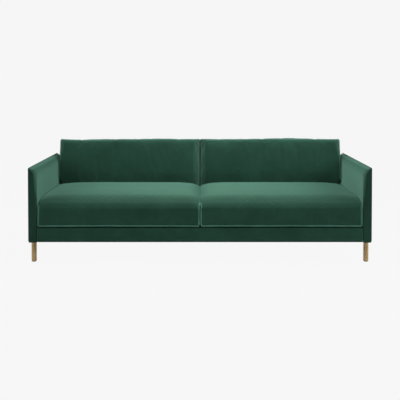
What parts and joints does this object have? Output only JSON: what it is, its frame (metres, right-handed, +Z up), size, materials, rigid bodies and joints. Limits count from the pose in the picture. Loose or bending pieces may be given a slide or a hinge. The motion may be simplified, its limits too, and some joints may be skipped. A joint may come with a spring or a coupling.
{
  "type": "sofa bed",
  "caption": "Slim-armed sofa bed with box seat cushions and loose back cushions; the seat rolls out while the back folds flat behind it.",
  "frame": {"origin": "middle of the footprint, on the floor", "axes": "+X along the sofa's length, to the right as seen from the front; the front faces -Y; +Z up"},
  "size_m": [2.2, 0.9, 0.7325],
  "materials": {
    "velvet": "short-pile green velvet",
    "foam": "open-cell foam",
    "frame_timber": "planed softwood, unfinished",
    "slat_beech": "bent beech, clear",
    "oak": "matt lacquered oak",
    "hardboard": "bare hardboard",
    "zinc_steel": "zinc plated",
    "black_steel": "black powder coat",
    "black_plastic": "moulded, matt",
    "webbing": "woven elastic"
  },
  "bodies": {
    "base": {"arm_frame_left": "frame_timber", "arm_frame_right": "frame_timber", "arm_boards_left": "hardboard", "arm_boards_right": "hardboard", "arm_padding_left": "foam", "arm_padding_right": "foam", "arm_cover_left": "velvet", "arm_cover_right": "velvet", "rear_rail": "frame_timber", "rear_rail_cover": "velvet", "rail_bolts": "zinc_steel", "base_stretcher": "black_steel", "runner_channel_left": "zinc_steel", "runner_channel_right": "zinc_steel", "guide_plate_left": "zinc_steel", "guide_plate_right": "zinc_steel", "front_roller_axles": "zinc_steel", "leg_front_left": "oak", "leg_front_right": "oak", "leg_rear_left": "oak", "leg_rear_right": "oak", "leg_plates": "zinc_steel", "leg_bolts": "zinc_steel", "leg_glides": "black_plastic"},
    "seat": {"front_rail": "frame_timber", "front_rail_cover": "velvet", "front_batten": "frame_timber", "seat_side_left": "frame_timber", "seat_side_right": "frame_timber", "seat_rear_rail": "frame_timber", "seat_centre_beam": "frame_timber", "seat_slats": "slat_beech", "slat_holders": "black_plastic", "slide_bars": "zinc_steel", "pivot_bracket_left": "black_steel", "pivot_bracket_right": "black_steel", "pivot_pins": "zinc_steel", "rear_roller_axles": "zinc_steel", "leg_brackets": "black_steel", "leg_pins": "zinc_steel", "seat_cushion_left": "velvet", "seat_cushion_right": "velvet"},
    "back": {"back_top_rail": "frame_timber", "back_bottom_rail": "frame_timber", "back_uprights": "frame_timber", "back_webbing": "webbing", "back_cover": "velvet", "back_cushion_left": "velvet", "back_cushion_right": "velvet", "crank_plate_left": "black_steel", "crank_plate_right": "black_steel", "guide_pins": "zinc_steel"},
    "front_roller_left": {"front_roller_left": "black_plastic"},
    "front_roller_right": {"front_roller_right": "black_plastic"},
    "rear_roller_left": {"rear_roller_left": "black_plastic"},
    "rear_roller_right": {"rear_roller_right": "black_plastic"},
    "fold_leg_left": {"fold_leg_left": "frame_timber"},
    "fold_leg_right": {"fold_leg_right": "frame_timber"}
  },
  "joints": [
    {"name": "seat_slide", "type": "slide", "parent": "base", "child": "seat", "axis": [0, -1, 0], "range_m": [0, 0.3]},
    {"name": "back_fold", "type": "hinge", "parent": "seat", "child": "back", "pos_m": [0, 0.281, 0.326], "axis": [-1, 0, 0], "range_deg": [0, 80]},
    {"name": "front_roller_left_spin", "type": "hinge", "parent": "base", "child": "front_roller_left", "pos_m": [-1.036, -0.398, 0.17825], "axis": [1, 0, 0], "range_deg": [0, 1075]},
    {"name": "rear_roller_left_spin", "type": "hinge", "parent": "seat", "child": "rear_roller_left", "pos_m": [-1.036, 0.17, 0.17405], "axis": [1, 0, 0], "range_deg": [0, 1075]},
    {"name": "fold_leg_left_hinge", "type": "hinge", "parent": "seat", "child": "fold_leg_left", "pos_m": [-0.75, -0.402, 0.16], "axis": [-1, 0, 0], "range_deg": [0, 90]},
    {"name": "front_roller_right_spin", "type": "hinge", "parent": "base", "child": "front_roller_right", "pos_m": [1.036, -0.398, 0.17825], "axis": [1, 0, 0], "range_deg": [0, 1075]},
    {"name": "rear_roller_right_spin", "type": "hinge", "parent": "seat", "child": "rear_roller_right", "pos_m": [1.036, 0.17, 0.17405], "axis": [1, 0, 0], "range_deg": [0, 1075]},
    {"name": "fold_leg_right_hinge", "type": "hinge", "parent": "seat", "child": "fold_leg_right", "pos_m": [0.75, -0.402, 0.16], "axis": [-1, 0, 0], "range_deg": [0, 90]}
  ],
  "couplings": [
    {"joint": "back_fold", "follows": "seat_slide", "rad_per_m": 4.6542},
    {"joint": "front_roller_left_spin", "follows": "seat_slide", "rad_per_m": 62.5},
    {"joint": "rear_roller_left_spin", "follows": "seat_slide", "rad_per_m": 62.5},
    {"joint": "front_roller_right_spin", "follows": "seat_slide", "rad_per_m": 62.5},
    {"joint": "rear_roller_right_spin", "follows": "seat_slide", "rad_per_m": 62.5}
  ]
}
